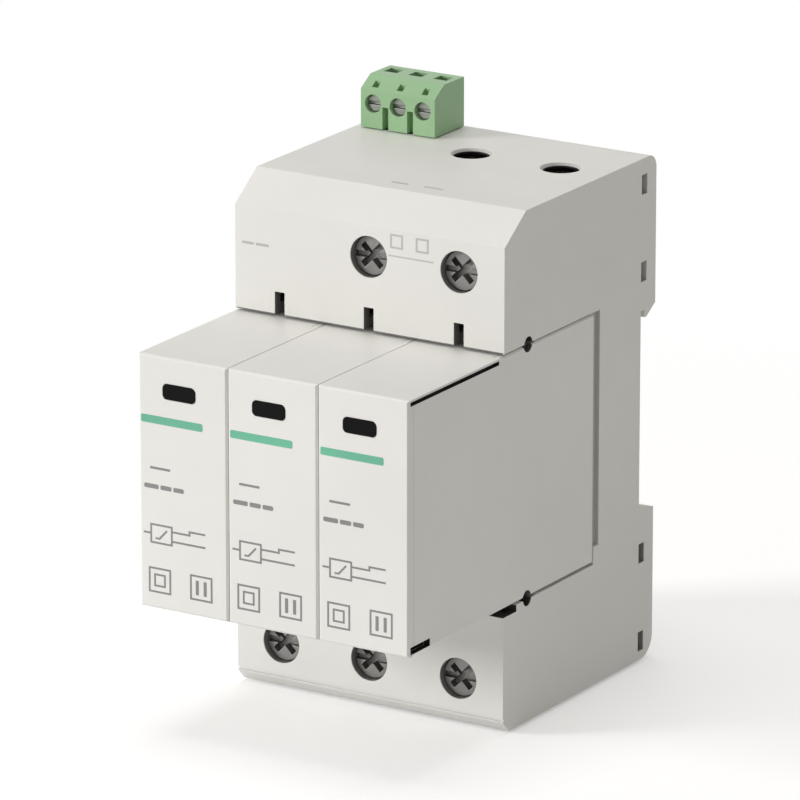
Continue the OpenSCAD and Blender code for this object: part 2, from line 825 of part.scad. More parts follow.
module cartridge_case(i) {
  x = pole_x(i);
  left = x - cart_half;
  seat = x + cart_half - lid_thick - fit_gap;
  inner_front = cart_front + front_wall;
  inner_rear = cart_back - cart_wall;
  edge = front_bevel;
  color([0.9, 0.9, 0.88])
    difference() {
      union() {
        difference() {
          intersection() {
            along_x(left, x + cart_half)
              polygon([
                [cart_front, cart_foot + edge],
                [cart_front, cart_top - edge],
                [cart_front + edge, cart_top],
                [cart_back, cart_top],
                [cart_back, cart_foot],
                [cart_front + edge, cart_foot]
              ]);
            translate([x, 0, cart_foot - 1])
              linear_extrude(cart_height + 2)
                polygon([
                  [-cart_half + edge, cart_front],
                  [cart_half - edge, cart_front],
                  [cart_half, cart_front + edge],
                  [cart_half, cart_back],
                  [-cart_half, cart_back],
                  [-cart_half, cart_front + edge]
                ]);
          }
          block([left + cart_wall, inner_front, cart_foot + cart_wall],
            [x + cart_half + 1, inner_rear, cart_top - cart_wall]);
          block([seat, inner_front, cart_foot - 1], [x + cart_half + 1, groove_end, groove_high]);
          block([seat, groove_end - fit_gap, cart_foot - 1],
                [x + cart_half + 1, cart_back + 1, cart_top + 1]);
          block([seat - groove_depth, cart_front + 0.6, groove_low],
                [x + cart_half + 1, groove_end, groove_high]);
        }
        block([left + 0.5, inner_front - 0.5, cart_foot + 0.5],
              [seat, inner_front + grip_length + 2, cart_foot + 3]);
        case_ribs(i);
      }
      for (z = [upper_blade_z, lower_blade_z])
        block([x - blade_width / 2 - fit_gap, inner_rear - 1, z - blade_thick / 2 - fit_gap],
          [x + blade_width / 2 + fit_gap, cart_back + 1, z + blade_thick / 2 + fit_gap]);
      translate([x - window_shift, 0, window_z])
        along_y(cart_front - 1, inner_front + 1)
          rounded(window_width, window_height, window_corner);
      cartridge_notches(x);
    }
}

// Ribs and post inside the case
module case_ribs(i) {
  x = pole_x(i);
  left = x - cart_half + cart_wall - 0.2;
  inner_front = cart_front + front_wall - 0.2;
  block([left, varistor_front + 2, varistor_low - 1.6], [x, varistor_rear - 2, varistor_low - fit_gap]);
  block([left, varistor_front - 1.6, varistor_low], [x, varistor_front - fit_gap, varistor_low + 8]);
  rod_x(pivot_y, pivot_z, post_radius, left, arm_low_x(i) - 0.2);
  rod_x(pivot_y, pivot_z, pin_radius, left, arm_high_x(i) + 0.6);
  for (s = [-1, 1])
    translate([x + s * 5.8, 0, 0])
      block([-0.5, inner_front, lug_low], [0.5, flag_front + flag_thick + 0.5, cart_top - cart_wall + 0.2]);
  block([x - 4.5, inner_front, lug_low - 1.6], [x + 4.5, flag_front + flag_thick + 0.3, lug_low - 0.3]);
}

module cartridge_lid(i) {
  x = pole_x(i);
  lid_front = cart_front + front_wall + fit_gap;
  edge = 0.3;
  x0 = x + cart_half - lid_thick;
  x1 = x + cart_half;
  color([0.9, 0.9, 0.88])
    difference() {
      intersection() {
        along_y(cart_front, cart_back)
          polygon([
            [x0, cart_foot],
            [x1 - edge, cart_foot],
            [x1, cart_foot + edge],
            [x1, cart_top - edge],
            [x1 - edge, cart_top],
            [x0, cart_top]
          ]);
        along_x(x0 - 1, x1 + 1)
          polygon([
            [lid_front, cart_foot],
            [cart_back, cart_foot],
            [cart_back, cart_top],
            [groove_end, cart_top],
            [groove_end, groove_low],
            [lid_front, groove_low]
          ]);
      }
      cartridge_notches(x);
    }
}

module status_lens(i) {
  w = window_width / 2;
  h = window_height / 2;
  color([0.08, 0.08, 0.08])
    translate([pole_x(i) - window_shift, cart_front, window_z])
      union() {
        along_y(-lens_proud, front_wall + 0.2)
          rounded(window_width - 0.1, window_height - 0.1, window_corner - 0.05);
        block([-w - 0.7, front_wall + 0.02, -h - 0.7], [w + 0.7, front_wall + 0.5, h + 0.7]);
      }
}

module upper_blade(i) {
  x = pole_x(i);
  z = upper_blade_z;
  half = blade_width / 2;
  color([0.8, 0.78, 0.72])
    union() {
      block([x - half, pivot_y - 3.5, z - blade_thick / 2],
            [x + half, cart_back + blade_reach, z + blade_thick / 2]);
      block([x - half - 1, pivot_y - 3.5, z - blade_thick / 2],
        [x + half + 1, cart_back - cart_wall - fit_gap, z + blade_thick / 2]);
    }
}

module lower_blade(i) {
  x = pole_x(i);
  z = lower_blade_z;
  half = blade_width / 2;
  color([0.8, 0.78, 0.72])
    union() {
      block([x - half, varistor_rear + fit_gap, z - blade_thick / 2],
        [x + half, cart_back + blade_reach, z + blade_thick / 2]);
      block([x - half - 1, varistor_rear + fit_gap, z - blade_thick / 2],
        [x + half + 1, cart_back - cart_wall - fit_gap, z + blade_thick / 2]);
      block([x - half, varistor_rear + fit_gap, z - blade_thick / 2],
        [x + half, varistor_rear + fit_gap + blade_thick, z + 7]);
    }
}

module varistor(i) {
  x0 = varistor_left(i);
  x1 = x0 + varistor_thick;
  tip = [pivot_y + arm_reach[0], pivot_z + arm_reach[1]];
  color([0.15, 0.25, 0.5])
    union() {
      translate([0, varistor_front + varistor_size / 2, varistor_low + varistor_size / 2])
        along_x(x0, x1)
          rounded(varistor_size, varistor_size, 2);
      block([x1 - 0.5, tip[0] - 4, tip[1] - 4], [x1 + varistor_tab, tip[0] + 4, tip[1] + 4]);
    }
}

module disconnect_arm(i) {
  length = norm(arm_reach);
  color([0.8, 0.66, 0.35])
    translate([0, pivot_y, pivot_z])
      along_x(arm_low_x(i), arm_high_x(i))
        difference() {
          union() {
            circle(eye_radius);
            translate(arm_reach)
              circle(eye_radius);
            rotate(atan2(arm_reach[1], arm_reach[0]))
              translate([0, -arm_half])
                square([length, 2 * arm_half]);
          }
          circle(pin_radius + 0.05);
        }
}

// Path of the spring's wire round the post: [angle, place along X, straight run past the coil]
function spring_step(k) =
  k == 0 ? [0, 0, -6] :
  k > 12 * spring_turns + 1 ? [360 * spring_turns, spring_turns, spring_leg] :
  [(k - 1) * 30, (k - 1) / 12, 0];

function spring_ring(k, x0) =
  let (s = spring_step(k))
  let (out = [0, cos(s[0]), sin(s[0])])
  let (ahead = [0, -sin(s[0]), cos(s[0])])
  let (middle = [x0 + s[1], pivot_y, pivot_z] + spring_radius * out + s[2] * ahead)
  [for (m = [0:5]) middle + spring_wire * (cos(m * 60) * out + sin(m * 60) * [1, 0, 0])];

module disconnect_spring(i) {
  x0 = arm_low_x(i) - spring_turns - 1.2;
  last = 12 * spring_turns + 2;
  rings = [for (k = [0:last]) each spring_ring(k, x0)];
  sides = [for (k = [0:last - 1], m = [0:5])
    [k * 6 + m, k * 6 + (m + 1) % 6, (k + 1) * 6 + (m + 1) % 6, (k + 1) * 6 + m]];
  ends = [[for (m = [5:-1:0]) m], [for (m = [0:5]) last * 6 + m]];
  color([0.7, 0.7, 0.72])
    polyhedron(rings, concat(sides, ends));
}

module status_flag(i) {
  x = pole_x(i);
  bar_left = arm_high_x(i) + 0.5;
  bar_right = bar_left + 1.5;
  color([0.2, 0.2, 0.2])
    union() {
      block([x - 5, flag_front, lug_low], [x + 5, flag_front + flag_thick, flag_top]);
      block([bar_left, flag_front, lug_low], [bar_right, lug_y + 1.5, lug_low + 2]);
      block([arm_low_x(i), lug_y - 1.5, lug_low], [bar_right, lug_y + 1.5, lug_low + 2]);
    }
}

base_housing();
rear_cover();
rail_clip();
linked_contact();  // upper_contact_1
for (i = [1:2]) {
  upper_contact(i);
  terminal_screw(pole_x(i), upper_screw_z);
  clamp_cage(pole_x(i), upper_screw_z);
}
for (i = [0:2]) {
  lower_contact(i);
  terminal_screw(pole_x(i), lower_screw_z);
  clamp_cage(pole_x(i), lower_screw_z);
  plug_screw(i - 1);
  plug_clamp(i - 1);
  cartridge_case(i);
  cartridge_lid(i);
  status_lens(i);
  upper_blade(i);
  lower_blade(i);
  varistor(i);
  disconnect_arm(i);
  disconnect_spring(i);
  status_flag(i);
}
signal_header();
signal_board();
microswitch();
switch_plunger();
signal_bar();
plug_body();
plug_contacts();
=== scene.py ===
import json
import math

import bmesh
import bpy
from mathutils import Matrix, Vector


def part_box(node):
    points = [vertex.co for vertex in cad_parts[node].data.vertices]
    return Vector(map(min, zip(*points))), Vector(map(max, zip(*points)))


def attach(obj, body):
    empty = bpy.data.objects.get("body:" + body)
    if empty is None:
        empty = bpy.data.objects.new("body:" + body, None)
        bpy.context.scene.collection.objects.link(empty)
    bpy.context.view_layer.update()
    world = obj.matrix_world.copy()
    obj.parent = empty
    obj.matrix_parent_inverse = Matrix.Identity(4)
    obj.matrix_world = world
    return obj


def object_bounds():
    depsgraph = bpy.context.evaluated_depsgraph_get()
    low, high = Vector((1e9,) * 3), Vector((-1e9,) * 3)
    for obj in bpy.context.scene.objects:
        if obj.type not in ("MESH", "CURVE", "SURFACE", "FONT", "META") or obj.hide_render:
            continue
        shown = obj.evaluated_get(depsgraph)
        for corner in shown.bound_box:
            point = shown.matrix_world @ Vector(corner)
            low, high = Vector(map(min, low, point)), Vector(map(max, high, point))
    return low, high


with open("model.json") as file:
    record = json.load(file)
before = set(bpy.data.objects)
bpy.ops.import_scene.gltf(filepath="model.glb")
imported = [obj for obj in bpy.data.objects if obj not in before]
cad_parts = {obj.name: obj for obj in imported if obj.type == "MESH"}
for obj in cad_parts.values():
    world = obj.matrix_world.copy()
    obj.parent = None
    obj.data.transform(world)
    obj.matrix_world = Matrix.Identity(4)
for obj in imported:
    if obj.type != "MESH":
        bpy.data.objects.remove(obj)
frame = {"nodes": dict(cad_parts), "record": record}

CAD_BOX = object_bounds()
NODES = frame["nodes"]
SLOTS = {s["node"]: s["material_slot"] for s in frame["record"]["subparts"]}
MM = 0.001


def box_mm(node):
    """Lowest and highest corner of a CAD node in millimetres."""
    low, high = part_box(node)
    return [v / MM for v in low], [v / MM for v in high]


# Driving places in millimetres, from the frame

BASE_LOW, BASE_HIGH = box_mm("base_housing")
BASE_SIDE = BASE_HIGH[0]
BASE_FRONT = BASE_LOW[1]
BASE_FOOT = BASE_LOW[2]
BASE_TOP = BASE_HIGH[2]

CASES = [box_mm(f"cartridge_case_{pole}") for pole in (1, 2, 3)]
POLES = [(low[0] + high[0]) / 2 for low, high in CASES]
HALF_PITCH = (POLES[1] - POLES[0]) / 2
CASE_LOW, CASE_HIGH = CASES[0]
CASE_FRONT = CASE_LOW[1]
CASE_BACK = CASE_HIGH[1]
CASE_FOOT = CASE_LOW[2]
CASE_TOP = CASE_HIGH[2]


# Camera at the photograph's viewing angle, in millimetres

AZIMUTH = math.radians(31.81)
ELEVATION = math.radians(16.93)
TARGET = Vector((0.0, -30.0, 0.0))
DISTANCE = 1350.0
PX_PER_MM = 5.78
SHIFT_LEFT_PX = 17.8
SHIFT_UP_PX = 27.2

back = Vector((
    math.sin(AZIMUTH) * math.cos(ELEVATION),
    -math.cos(AZIMUTH) * math.cos(ELEVATION),
    math.sin(ELEVATION),
))
right = Vector((math.cos(AZIMUTH), math.sin(AZIMUTH), 0.0))
up = back.cross(right)
eye = TARGET + back * DISTANCE - right * (SHIFT_LEFT_PX / PX_PER_MM) + up * (SHIFT_UP_PX / PX_PER_MM)
camera_data = bpy.data.cameras.new("camera")
camera_data.sensor_width = 36.0
camera_data.lens = 351.1
camera_data.clip_start = 0.05
camera_data.clip_end = 50.0
camera = bpy.data.objects.new("camera", camera_data)
camera.matrix_world = Matrix((
    (right.x, up.x, back.x, eye.x * MM),
    (right.y, up.y, back.y, eye.y * MM),
    (right.z, up.z, back.z, eye.z * MM),
    (0.0, 0.0, 0.0, 1.0),
))
bpy.context.collection.objects.link(camera)
bpy.context.scene.camera = camera


# Shader nodes

def new_material(name):
    """A material with its node tree, principled shader and object coordinates."""
    mat = bpy.data.materials.new(name)
    mat.use_nodes = True
    tree = mat.node_tree
    shader = tree.nodes["Principled BSDF"]
    coords = tree.nodes.new("ShaderNodeTexCoord")
    return mat, tree, shader, coords.outputs["Object"]


def noise(tree, coords, scale, detail, stretch=None):
    """Noise output over object coordinates in metres."""
    if stretch:
        mapping = tree.nodes.new("ShaderNodeMapping")
        mapping.inputs["Scale"].default_value = stretch
        tree.links.new(coords, mapping.inputs["Vector"])
        coords = mapping.outputs["Vector"]
    tex = tree.nodes.new("ShaderNodeTexNoise")
    tex.inputs["Scale"].default_value = scale
    tex.inputs["Detail"].default_value = detail
    tree.links.new(coords, tex.inputs["Vector"])
    return tex.outputs["Fac"]


NOISE_MIDDLE = (0.3, 0.7)


def between(tree, fac, low, high):
    """Maps the middle of a noise to a range of values."""
    ramp = tree.nodes.new("ShaderNodeMapRange")
    ramp.inputs["From Min"].default_value, ramp.inputs["From Max"].default_value = NOISE_MIDDLE
    ramp.inputs["To Min"].default_value = low
    ramp.inputs["To Max"].default_value = high
    tree.links.new(fac, ramp.inputs["Value"])
    return ramp.outputs["Result"]


def tint(tree, fac, *tones):
    """Colour between two tones by the middle of a noise."""
    ramp = tree.nodes.new("ShaderNodeValToRGB")
    for element, position, tone in zip(ramp.color_ramp.elements, NOISE_MIDDLE, tones):
        element.position = position
        element.color = (*tone, 1.0)
    tree.links.new(fac, ramp.inputs["Fac"])
    return ramp.outputs["Color"]


def bump(tree, shader, fac, strength, distance):
    """Relief by a noise, with its height in metres."""
    node = tree.nodes.new("ShaderNodeBump")
    node.inputs["Strength"].default_value = strength
    node.inputs["Distance"].default_value = distance
    tree.links.new(fac, node.inputs["Height"])
    tree.links.new(node.outputs["Normal"], shader.inputs["Normal"])


def vector(tree, operation, a, b=None):
    """Vector operation on an output, with a fixed second vector."""
    node = tree.nodes.new("ShaderNodeVectorMath")
    node.operation = operation
    tree.links.new(a, node.inputs[0])
    if b is not None:
        node.inputs[1].default_value = b
    return node.outputs["Value" if operation == "LENGTH" else "Vector"]


def number(tree, operation, a, b):
    """Number operation on an output and an output or a fixed number."""
    node = tree.nodes.new("ShaderNodeMath")
    node.operation = operation
    tree.links.new(a, node.inputs[0])
    if isinstance(b, float):
        node.inputs[1].default_value = b
    else:
        tree.links.new(b, node.inputs[1])
    return node.outputs["Value"]


def any_of(tree, masks):
    """The largest of several masks."""
    value = masks[0]
    for mask in masks[1:]:
        value = number(tree, "MAXIMUM", value, mask)
    return value


def shade(tree, masks, share):
    """The largest of several masks, weakened to a share."""
    return number(tree, "MULTIPLY", any_of(tree, masks), share)


def fold(tree, coords, operation, width=0.0):
    """Coordinates with a folded x, so that one recess stands for its copies."""
    parts = tree.nodes.new("ShaderNodeSeparateXYZ")
    tree.links.new(coords, parts.inputs[0])
    join = tree.nodes.new("ShaderNodeCombineXYZ")
    tree.links.new(number(tree, operation, parts.outputs["X"], width), join.inputs["X"])
    for axis in "YZ":
        tree.links.new(parts.outputs[axis], join.inputs[axis])
    return join.outputs["Vector"]


def by_side(tree, coords):
    """Coordinates in which the left side lies on the right one."""
    return fold(tree, coords, "ABSOLUTE")


def by_pole(tree, coords):
    """Coordinates in which all poles lie on the right half of the middle one."""
    return fold(tree, coords, "PINGPONG", HALF_PITCH * MM)


def recess(tree, coords, low, high, axis=None):
    """1 inside a box in millimetres, or inside the round bar along an axis that fills it."""
    middle = [(a + b) / 2 * MM for a, b in zip(low, high)]
    half = [(b - a) / 2 * MM for a, b in zip(low, high)]
    away = vector(tree, "DIVIDE", vector(tree, "SUBTRACT", coords, middle), half)
    parts = tree.nodes.new("ShaderNodeSeparateXYZ")
    tree.links.new(vector(tree, "ABSOLUTE", away), parts.inputs[0])
    most = number(tree, "MAXIMUM", parts.outputs["X"], parts.outputs["Y"])
    within = number(tree, "LESS_THAN", number(tree, "MAXIMUM", most, parts.outputs["Z"]), 1.0)
    if axis is None:
        return within
    across = vector(tree, "MULTIPLY", away, [0.0 if letter == axis else 1.0 for letter in "XYZ"])
    return number(tree, "MULTIPLY", within, number(tree, "LESS_THAN", vector(tree, "LENGTH", across), 1.0))


# Materials

# Dark colour of the painted shade in hollows, seams and holes
SHADE_COLOUR = (0.02, 0.019, 0.018, 1.0)
MIX_COLOUR_A, MIX_COLOUR_B, MIX_COLOUR_RESULT = 6, 7, 2


def plastic(name, colour, rough=0.45, grain=0.12, spread=0.02, specular=0.4, painted_shade=None):
    """Moulded plastic with a fine spark-eroded grain, faint tone changes and painted shade in its hollows.
    """
    mat, tree, shader, coords = new_material(name)
    low = [max(0.0, c * (1.0 - spread)) for c in colour]
    high = [min(1.0, c * (1.0 + spread)) for c in colour]
    tone = tint(tree, noise(tree, coords, scale=45.0, detail=3.0), low, high)
    # Painted shade: a mask darkens the colour towards SHADE_COLOUR
    if painted_shade:
        mix = tree.nodes.new("ShaderNodeMix")
        mix.data_type = "RGBA"
        tree.links.new(painted_shade(tree, coords), mix.inputs["Factor"])
        tree.links.new(tone, mix.inputs[MIX_COLOUR_A])
        mix.inputs[MIX_COLOUR_B].default_value = SHADE_COLOUR
        tone = mix.outputs[MIX_COLOUR_RESULT]
    tree.links.new(tone, shader.inputs["Base Color"])
    matt = noise(tree, coords, scale=260.0, detail=3.0)
    tree.links.new(between(tree, matt, rough - 0.05, rough + 0.06), shader.inputs["Roughness"])
    shader.inputs["Specular IOR Level"].default_value = specular
    bump(tree, shader, noise(tree, coords, scale=2600.0, detail=1.0), grain, distance=0.00006)
    return mat


def metal(name, colour, rough=0.3, stretch=(1.0, 1.0, 1.0), grain=0.15):
    """Metal with drawn or plated texture."""
    mat, tree, shader, coords = new_material(name)
    shader.inputs["Metallic"].default_value = 1.0
    low = [c * 0.9 for c in colour]
    high = [min(1.0, c * 1.08) for c in colour]
    cloud = noise(tree, coords, scale=300.0, detail=3.0, stretch=stretch)
    tree.links.new(tint(tree, cloud, low, high), shader.inputs["Base Color"])
    drawn = noise(tree, coords, scale=700.0, detail=3.0, stretch=stretch)
    tree.links.new(between(tree, drawn, rough - 0.08, rough + 0.1), shader.inputs["Roughness"])
    fine = noise(tree, coords, scale=1500.0, detail=2.0, stretch=stretch)
    bump(tree, shader, fine, grain, distance=0.00003)
    return mat


def glossy(name, colour, rough=0.12):
    """Polished dark plastic."""
    mat, tree, shader, coords = new_material(name)
    shader.inputs["Specular IOR Level"].default_value = 0.1
    low = [c * 0.8 for c in colour]
    high = [c * 1.2 for c in colour]
    cloud = noise(tree, coords, scale=90.0, detail=2.0)
    tree.links.new(tint(tree, cloud, low, high), shader.inputs["Base Color"])
    wear = noise(tree, coords, scale=400.0, detail=2.0)
    tree.links.new(between(tree, wear, rough, rough + 0.06), shader.inputs["Roughness"])
    return mat


# Painted shade of the housings, in millimetres: the shaded boxes end a skin behind the outer face, which
# stays pale

SKIN = 0.1
INNER_SIDE = BASE_SIDE - SKIN
INNER_FRONT = BASE_FRONT + SKIN
INNER_POLE = HALF_PITCH - SKIN

SEAM_Y = BASE_FRONT + 8.0
SEAM_Z = (CASE_TOP + 0.2, CASE_FOOT - 0.2)
SEAM_R = 1.43
SEAM_DEPTH = 7.1
# Painted shade on flat faces that the outer seam holes show through the seam
BEHIND_X = (BASE_SIDE - 2.7, INNER_SIDE)
BEHIND_Y = (SEAM_Y + 1.2, SEAM_Y + 2.6)
BEHIND_BASE_Z = (CASE_FOOT - 0.6, CASE_FOOT - 0.3)
BEHIND_CASE_Z = (CASE_TOP - 0.1, CASE_TOP + 0.1)
BEHIND_SHADE = 0.55

UPPER_WINDOW_Z = (BASE_TOP - 4.7, BASE_TOP - 14.6, CASE_TOP + 3.6)
LOWER_WINDOW_Z = (CASE_FOOT - 2.8, BASE_FOOT + 3.4)
UPPER_WINDOW_SHADE = 0.32
LOWER_WINDOW_SHADE = 0.6
WINDOW_X = (BASE_SIDE - 4.0, INNER_SIDE)
WINDOW_Y = (-0.03, 1.93)
WINDOW_HALF = 1.83
SNAP_X = (BASE_SIDE - 1.8, BASE_SIDE)
SNAP_Y = (-1.0, 3.0)

# Wire entries: radius, and the depths between which they get painted shade
WIRE_Y = -12.3
ENTRY_STEPS = ((4.45, 1.0, 4.0), (3.24, 0.5, 1.1))
ENTRY_RIM = (4.6, 0.06, 1.0)
RIM_SHADE = 0.35

WELL_Y = (BASE_FRONT + 0.2, BASE_FRONT + 10.0)
WELL_Z = [sum(corner[2] for corner in box_mm(node)) / 2 for node in ("upper_screw_2", "lower_screw_2")]
WELL_R = 3.78
SHALLOW_SHADE = 0.8
GROOVE_SHADE = 0.85

# Boxes by their lowest and highest corner
NOTCH = (
    (BASE_SIDE - 6.03, INNER_FRONT, CASE_FOOT - 1.63),
    (INNER_SIDE, BASE_FRONT + 4.53, CASE_FOOT - 0.45),
)
LATCH_SLOT = (
    (-1.03, INNER_FRONT, CASE_TOP - 0.5),
    (1.03, BASE_FRONT + 2.9, CASE_TOP + 4.53),
)
# Painted shade along the shoulder's lower front edge
SHOULDER_EDGE = (
    (-0.1, BASE_FRONT - 0.1, CASE_TOP + 0.3),
    (BASE_SIDE - 0.2, BASE_FRONT + 1.0, CASE_TOP + 0.6),
)
RIB_STRIP = (
    (BASE_SIDE - 1.7, CASE_BACK, CASE_FOOT + 2.85),
    (INNER_SIDE, CASE_BACK + 2.05, CASE_TOP + 0.35),
)
BELOW_CASE_FACES = (
    (1.0, SEAM_Y - 3.0, CASE_FOOT + 0.04),
    (INNER_POLE, SEAM_Y + 3.0, CASE_TOP - 0.04),
)
LID_GROOVE = (
    (HALF_PITCH - 2.1, CASE_FRONT + 0.57, CASE_TOP - 1.13),
    (INNER_POLE, CASE_FRONT + 29.03, CASE_TOP - 0.37),
)
GRIP_POCKET = (
    (HALF_PITCH - 6.1, CASE_FRONT + 0.57, CASE_FOOT + 0.37),
    (INNER_POLE, CASE_FRONT + 6.83, CASE_FOOT + 1.73),
)


def boxed(tree, coords, *spans):
    """A recess by its spans along x, y and z."""
    return recess(tree, coords, *zip(*spans))


def seam_holes(tree, coords, side):
    """Round holes in the seams between the cartridges and the base, sunk from a side."""
    holes = []
    for z in SEAM_Z:
        low = (side - SEAM_DEPTH, SEAM_Y - SEAM_R, z - SEAM_R)
        high = (side - SKIN, SEAM_Y + SEAM_R, z + SEAM_R)
        holes.append(recess(tree, coords, low, high, "X"))
    return holes


def wire_entries(tree, poles, radius, start, end):
    """Round steps of the wire entries in the base's top and foot, between two depths."""
    steps = []
    for low, high in ((BASE_TOP - end, BASE_TOP - start), (BASE_FOOT + start, BASE_FOOT + end)):
        corners = (-radius, WIRE_Y - radius, low), (radius, WIRE_Y + radius, high)
        steps.append(recess(tree, poles, *corners, "Z"))
    return steps


def screw_wells(tree, poles):
    """Round wells in front of the terminal screws."""
    wells = []
    for z in WELL_Z:
        corners = (-WELL_R, WELL_Y[0], z - WELL_R), (WELL_R, WELL_Y[1], z + WELL_R)
        wells.append(recess(tree, poles, *corners, "Y"))
    return wells


def snap_windows(tree, sides, heights):
    """Windows in the base's sides for the cover's snaps."""
    return [boxed(tree, sides, WINDOW_X, WINDOW_Y, (z - WINDOW_HALF, z + WINDOW_HALF)) for z in heights]


def base_painted_shade(tree, coords):
    """Painted shade on the base: in its hollows, along the shoulder's lower edge and on the floor behind the
    seam holes.
    """
    sides = by_side(tree, coords)
    poles = by_pole(tree, coords)
    masks = [*seam_holes(tree, sides, BASE_SIDE), recess(tree, sides, *NOTCH)]
    for step in ENTRY_STEPS:
        masks += wire_entries(tree, poles, *step)
    masks.append(shade(tree, snap_windows(tree, sides, UPPER_WINDOW_Z), UPPER_WINDOW_SHADE))
    masks.append(shade(tree, snap_windows(tree, sides, LOWER_WINDOW_Z), LOWER_WINDOW_SHADE))
    shallow = [recess(tree, poles, *LATCH_SLOT), recess(tree, sides, *SHOULDER_EDGE)]
    masks.append(shade(tree, shallow + screw_wells(tree, poles), SHALLOW_SHADE))
    masks.append(shade(tree, [boxed(tree, sides, BEHIND_X, BEHIND_Y, BEHIND_BASE_Z)], BEHIND_SHADE))
    rims = [*wire_entries(tree, poles, *ENTRY_RIM), recess(tree, sides, *RIB_STRIP)]
    masks.append(shade(tree, rims, RIM_SHADE))
    return any_of(tree, masks)


def cover_painted_shade(tree, coords):
    """Painted shade on the ends of the cover's snaps, deep in their windows."""
    sides = by_side(tree, coords)
    upper = boxed(tree, sides, SNAP_X, SNAP_Y, (0.0, BASE_TOP))
    lower = boxed(tree, sides, SNAP_X, SNAP_Y, (BASE_FOOT, 0.0))
    return any_of(tree, [shade(tree, [upper], UPPER_WINDOW_SHADE), shade(tree, [lower], LOWER_WINDOW_SHADE)])


def cartridge_painted_shade(tree, coords):
    """Painted shade on a cartridge: seam grooves, the face behind the outer ones, lid groove, grip pocket.
    """
    poles = by_pole(tree, coords)
    grooves = any_of(tree, seam_holes(tree, poles, HALF_PITCH))
    grooves = number(tree, "MULTIPLY", grooves, recess(tree, poles, *BELOW_CASE_FACES))
    behind = boxed(tree, by_side(tree, coords), BEHIND_X, BEHIND_Y, BEHIND_CASE_Z)
    return any_of(tree, [
        shade(tree, [grooves], GROOVE_SHADE),
        shade(tree, [behind], BEHIND_SHADE),
        recess(tree, poles, *LID_GROOVE),
        recess(tree, poles, *GRIP_POCKET),
    ])


# Materials and softened edges of the CAD nodes

ALONG_Y = (1.0, 0.1, 1.0)
ALONG_Z = (1.0, 1.0, 0.1)
MATERIALS = {
    "housing_plastic": plastic("housing_plastic", (0.77, 0.76, 0.73), 0.46, painted_shade=base_painted_shade),
    "cover_plastic": plastic("cover_plastic", (0.74, 0.73, 0.70), 0.48, painted_shade=cover_painted_shade),
    "cartridge_plastic": plastic("cartridge_plastic", (0.79, 0.78, 0.75), 0.44, painted_shade=cartridge_painted_shade),
    "clip_plastic": plastic("clip_plastic", (0.05, 0.05, 0.055), 0.5),
    "header_plastic": plastic("header_plastic", (0.03, 0.035, 0.03), 0.5),
    "board_laminate": plastic("board_laminate", (0.03, 0.15, 0.06), 0.35, grain=0.05),
    "switch_plastic": plastic("switch_plastic", (0.03, 0.03, 0.032), 0.45),
    "plunger_plastic": plastic("plunger_plastic", (0.5, 0.06, 0.04), 0.4),
    "bar_plastic": plastic("bar_plastic", (0.06, 0.06, 0.065), 0.5),
    "flag_plastic": plastic("flag_plastic", (0.04, 0.04, 0.04), 0.5),
    "plug_plastic": plastic("plug_plastic", (0.3, 0.49, 0.27), 0.38, grain=0.1, spread=0.06),
    "lens_plastic": glossy("lens_plastic", (0.004, 0.004, 0.0042)),
    "varistor_ceramic": plastic("varistor_ceramic", (0.05, 0.1, 0.3), 0.4, grain=0.2, spread=0.1),
    "contact_copper": metal("contact_copper", (0.85, 0.48, 0.3), 0.3, ALONG_Z),
    "blade_metal": metal("blade_metal", (0.72, 0.69, 0.62), 0.28, ALONG_Y),
    "arm_brass": metal("arm_brass", (0.8, 0.58, 0.25), 0.3),
    "spring_steel": metal("spring_steel", (0.6, 0.6, 0.62), 0.25),
    "screw_steel": metal("screw_steel", (0.215, 0.211, 0.202), 0.5, grain=0.3),
    "cage_steel": metal("cage_steel", (0.34, 0.335, 0.33), 0.42),
    # plug_metal: grey metal, tinted green as a painted reflection of the green plug body
    "plug_metal": metal("plug_metal", (0.24, 0.255, 0.225), 0.45),
}

# Width in millimetres and segments of the softened edges, by a word in the node's name
EDGES = {
    "base_housing": (0.35, 2),
    "rear_cover": (0.25, 2),
    "plug_body": (0.25, 2),
    "rail_clip": (0.25, 1),
    "cartridge_case": (0.25, 2),
    "cartridge_lid": (0.25, 2),
    "screw": (0.12, 2),
}
SHARP_ANGLE = math.radians(30.0)
FLAT_ANGLE = math.radians(0.5)
WELD_GAP = 1e-6


def soften(obj, width, segments):
    """Rounds the sharp edges of a CAD node by modifiers, without touching its mesh."""
    weld = obj.modifiers.new("weld", "WELD")
    weld.merge_threshold = WELD_GAP
    flat = obj.modifiers.new("flat", "DECIMATE")
    flat.decimate_type = "DISSOLVE"
    flat.angle_limit = FLAT_ANGLE
    edge = obj.modifiers.new("edge", "BEVEL")
    edge.width = width * MM
    edge.segments = segments
    edge.limit_method = "ANGLE"
    edge.angle_limit = SHARP_ANGLE
    edge.use_clamp_overlap = True
    edge.harden_normals = True
    edge.miter_outer = "MITER_SHARP"


for name, obj in NODES.items():
    obj.data.materials.clear()
    obj.data.materials.append(MATERIALS[SLOTS[name]])
    for word, (width, segments) in EDGES.items():
        if word in name:
            soften(obj, width, segments)


# Printed marks, as thin ink on the faces that carry them

INK_HEIGHT = 0.03
INK_ROOT = 0.02


def ink(name, colour):
    """Matt printing ink with a slightly uneven cover."""
    return plastic(name, colour, rough=0.55, grain=0.05, spread=0.08, specular=0.3)


GREEN_INK = ink("green_ink", (0.15, 0.47, 0.31))
GREY_INK = ink("grey_ink", (0.25, 0.25, 0.245))
PALE_INK = ink("pale_ink", (0.5, 0.49, 0.49))


def on_front(y):
    """Places ink on a face to the front: across it, up it and off it."""
    return lambda u, v, off: Vector((u, y - off, v)) * MM


def on_top(z):
    """Places ink on a face that looks up: across it, to its back and off it."""
    return lambda u, v, off: Vector((u, v, z + off)) * MM


